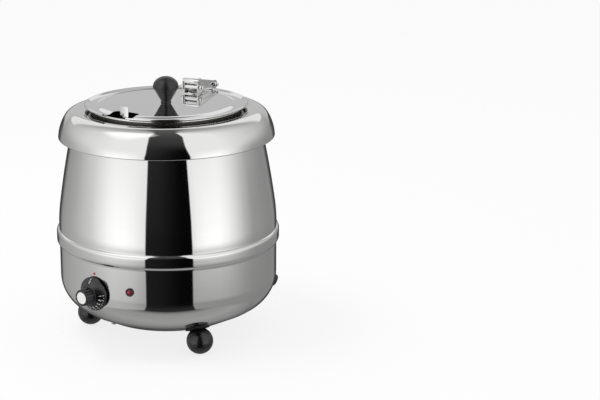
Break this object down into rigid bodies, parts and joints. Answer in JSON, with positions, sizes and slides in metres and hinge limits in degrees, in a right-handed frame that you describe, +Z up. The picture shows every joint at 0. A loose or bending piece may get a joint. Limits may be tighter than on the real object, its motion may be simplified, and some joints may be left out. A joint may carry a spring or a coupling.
{
  "type": "soup kettle",
  "caption": "Round stainless soup kettle on three black ball feet, with a shoulder collar, a body bead, a hinged knobbed lid over a lift-out pot, a dial and a pilot lamp.",
  "frame": {"origin": "on the kettle's axis, in the plane of the table it stands on", "axes": "+Z up along the kettle's axis; -Y towards the user, whom the dial faces, set 2 degrees to their left; the lid hinge is at the back, 8 degrees past +Y towards -X"},
  "size_m": [0.34, 0.3654, 0.3969],
  "materials": {
    "polished_steel": "polished stainless steel",
    "satin_steel": "drawn stainless steel, satin",
    "zinc_steel": "bright zinc plate",
    "plate_aluminium": "as rolled",
    "element_sheath": "heat-darkened steel sheath",
    "black_phenolic": "moulded phenolic, glossy",
    "black_nylon": "moulded nylon, satin",
    "washer_rubber": "moulded rubber",
    "white_plastic": "moulded plastic, glossy",
    "red_lens": "clear red plastic",
    "red_enamel": "red enamel dot",
    "terminal_plastic": "moulded plastic",
    "switch_plastic": "moulded phenolic, matt"
  },
  "bodies": {
    "kettle_body": {"collar": "polished_steel", "upper_shell": "polished_steel", "lower_shell": "polished_steel", "base_pan": "polished_steel", "water_well": "satin_steel", "heater_plate": "plate_aluminium", "heating_element": "element_sheath", "element_clamp": "zinc_steel", "clamp_nut": "zinc_steel", "thermal_cutout": "switch_plastic", "thermostat": "switch_plastic", "thermostat_plate": "zinc_steel", "thermostat_screws": "zinc_steel", "index_dot": "red_enamel", "lamp_bezel": "black_phenolic", "lamp_lens": "red_lens", "lamp_nut": "zinc_steel", "terminal_block": "terminal_plastic", "cable_gland": "black_nylon", "gland_nut": "black_nylon", "ball_feet": "black_phenolic", "foot_washers": "washer_rubber", "foot_studs": "zinc_steel", "foot_nuts": "zinc_steel", "base_screws": "zinc_steel", "base_nuts": "zinc_steel"},
    "pot": {"pot_bottom": "satin_steel", "inner_pot": "satin_steel", "pot_neck": "satin_steel", "pot_tab": "polished_steel", "tab_rivets": "polished_steel", "rim_bracket": "polished_steel", "bracket_rivets": "polished_steel"},
    "lid": {"lid": "polished_steel", "lid_knob": "black_phenolic", "knob_screw": "zinc_steel", "lid_bracket": "polished_steel", "lid_bracket_rivets": "polished_steel", "hinge_link": "polished_steel", "link_bolts": "polished_steel", "hinge_pin": "polished_steel", "acorn_nuts": "polished_steel"},
    "dial": {"thermostat_shaft": "zinc_steel", "dial_knob": "black_phenolic", "dial_cap": "white_plastic"}
  },
  "joints": [
    {"name": "pot_lift", "type": "slide", "parent": "kettle_body", "child": "pot", "axis": [0, 0, 1], "range_m": [0, 0.24]},
    {"name": "lid_hinge", "type": "hinge", "parent": "pot", "child": "lid", "pos_m": [-0.01754, 0.12477, 0.36294], "axis": [-0.9903, -0.1392, 0], "range_deg": [0, 100]},
    {"name": "dial_turn", "type": "hinge", "parent": "kettle_body", "child": "dial", "pos_m": [-0.00579, -0.1659, 0.09959], "axis": [0.0349, 0.9994, 0], "range_deg": [0, 290]}
  ]
}
